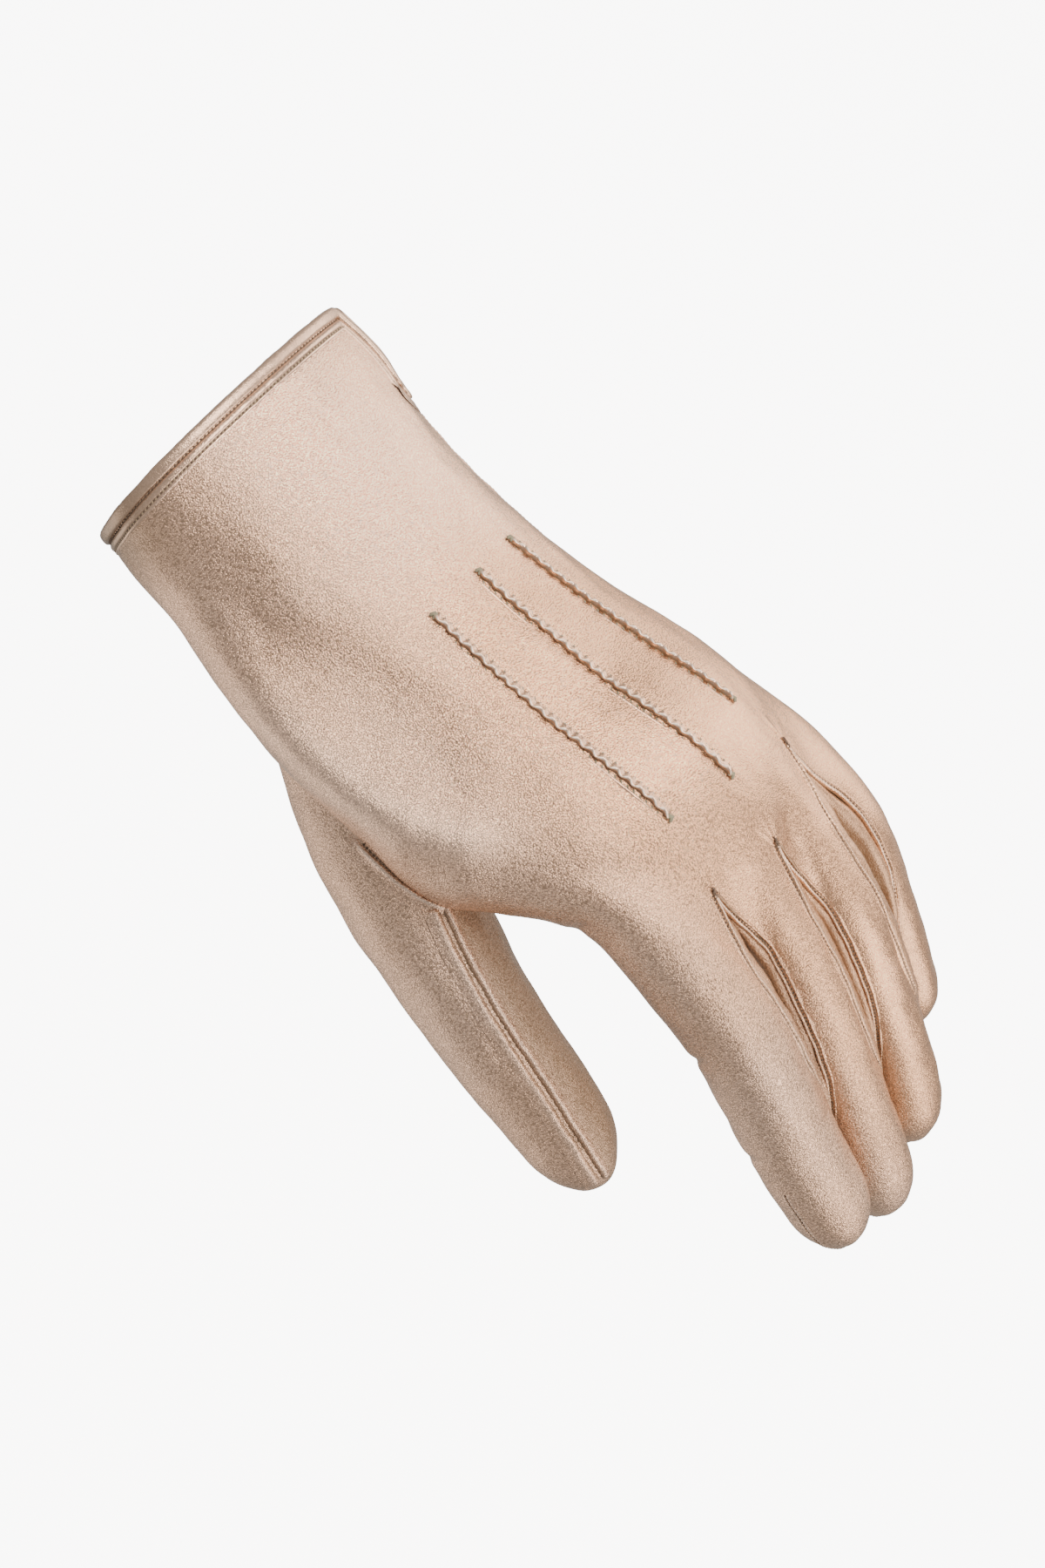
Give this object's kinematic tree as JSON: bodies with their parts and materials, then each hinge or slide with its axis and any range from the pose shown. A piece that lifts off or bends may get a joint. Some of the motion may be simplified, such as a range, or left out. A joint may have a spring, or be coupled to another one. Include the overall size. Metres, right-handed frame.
{
  "type": "leather dress glove",
  "caption": "Left-hand dress glove in soft nappa leather, filled out as worn, with strips between the fingers, a set-in thumb, a bound cuff with a short side slit and raised lines on the back.",
  "frame": {"origin": "centre of the wrist opening", "axes": "+X from the wrist opening to the fingertips, +Y to the little-finger side, +Z to the back of the hand"},
  "size_m": [0.2231, 0.1094, 0.0739],
  "materials": {
    "nappa": "metallic rose-gold foil over a fine pebble grain"
  },
  "bodies": {
    "root": {"trank": "nappa", "fourchette_index_middle": "nappa", "fourchette_middle_ring": "nappa", "fourchette_ring_little": "nappa", "thumb": "nappa", "cuff_binding": "nappa", "point_ridge_1": "nappa", "point_ridge_2": "nappa", "point_ridge_3": "nappa"}
  },
  "joints": []
}
